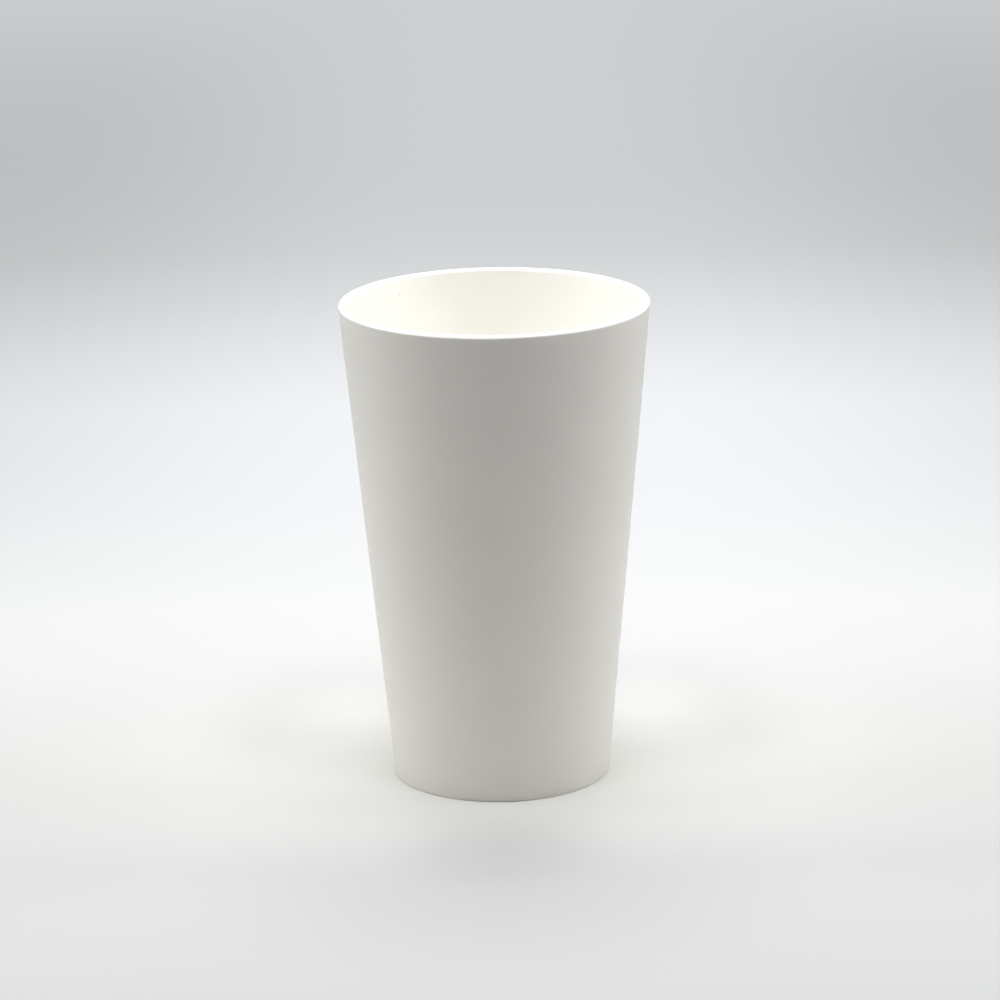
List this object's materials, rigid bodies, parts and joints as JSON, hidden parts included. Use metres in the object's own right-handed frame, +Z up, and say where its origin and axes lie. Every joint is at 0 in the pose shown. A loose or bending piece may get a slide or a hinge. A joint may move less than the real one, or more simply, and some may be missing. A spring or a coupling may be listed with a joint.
{
  "type": "reusable cup",
  "caption": "Tapered reusable drinking cup moulded in one piece, with a plain full-round lip and a recessed foot.",
  "frame": {"origin": "centre of the foot ring, on the surface that the cup stands on", "axes": "+Z up along the cup's axis, from the foot to the mouth; X and Y lie in the plane of the foot"},
  "size_m": [0.09, 0.09, 0.142],
  "materials": {
    "white_plastic": "warm white moulded polypropylene with a fine satin grain"
  },
  "bodies": {
    "root": {"cup": "white_plastic"}
  },
  "joints": []
}
